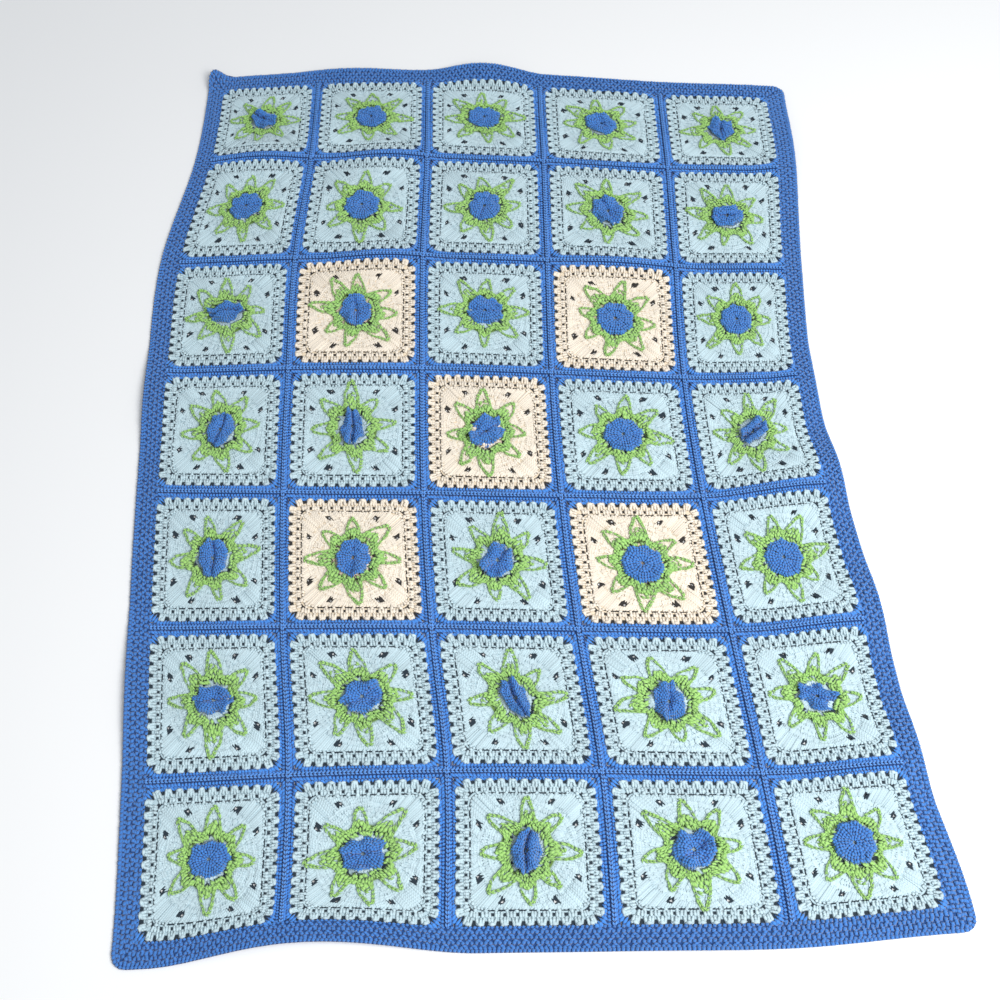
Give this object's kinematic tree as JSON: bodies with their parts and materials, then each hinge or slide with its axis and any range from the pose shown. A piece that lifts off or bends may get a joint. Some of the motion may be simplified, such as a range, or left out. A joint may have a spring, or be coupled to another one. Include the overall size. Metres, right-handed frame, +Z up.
{
  "type": "granny square blanket",
  "caption": "Crocheted lap blanket of joined squares, each with a raised flower in a star, in a net with a border, lying flat with low ripples.",
  "frame": {"origin": "middle of the box round the blanket, at the height of the floor that it lies on", "axes": "+X across the blanket to the right, +Y along it to its far edge, +Z up from the floor"},
  "size_m": [0.9844, 1.263, 0.0183],
  "materials": {
    "pale_blue_yarn": "matte",
    "cream_yarn": "matte",
    "blue_yarn": "matte",
    "green_yarn": "matte"
  },
  "bodies": {
    "root": {"square_r1c1": "pale_blue_yarn", "square_r1c2": "pale_blue_yarn", "square_r1c3": "pale_blue_yarn", "square_r1c4": "pale_blue_yarn", "square_r1c5": "pale_blue_yarn", "square_r2c1": "pale_blue_yarn", "square_r2c2": "pale_blue_yarn", "square_r2c3": "pale_blue_yarn", "square_r2c4": "pale_blue_yarn", "square_r2c5": "pale_blue_yarn", "square_r3c1": "pale_blue_yarn", "square_r3c2": "cream_yarn", "square_r3c3": "pale_blue_yarn", "square_r3c4": "cream_yarn", "square_r3c5": "pale_blue_yarn", "square_r4c1": "pale_blue_yarn", "square_r4c2": "pale_blue_yarn", "square_r4c3": "cream_yarn", "square_r4c4": "pale_blue_yarn", "square_r4c5": "pale_blue_yarn", "square_r5c1": "pale_blue_yarn", "square_r5c2": "cream_yarn", "square_r5c3": "pale_blue_yarn", "square_r5c4": "cream_yarn", "square_r5c5": "pale_blue_yarn", "square_r6c1": "pale_blue_yarn", "square_r6c2": "pale_blue_yarn", "square_r6c3": "pale_blue_yarn", "square_r6c4": "pale_blue_yarn", "square_r6c5": "pale_blue_yarn", "square_r7c1": "pale_blue_yarn", "square_r7c2": "pale_blue_yarn", "square_r7c3": "pale_blue_yarn", "square_r7c4": "pale_blue_yarn", "square_r7c5": "pale_blue_yarn", "joining": "blue_yarn", "border": "blue_yarn"}
  },
  "joints": []
}
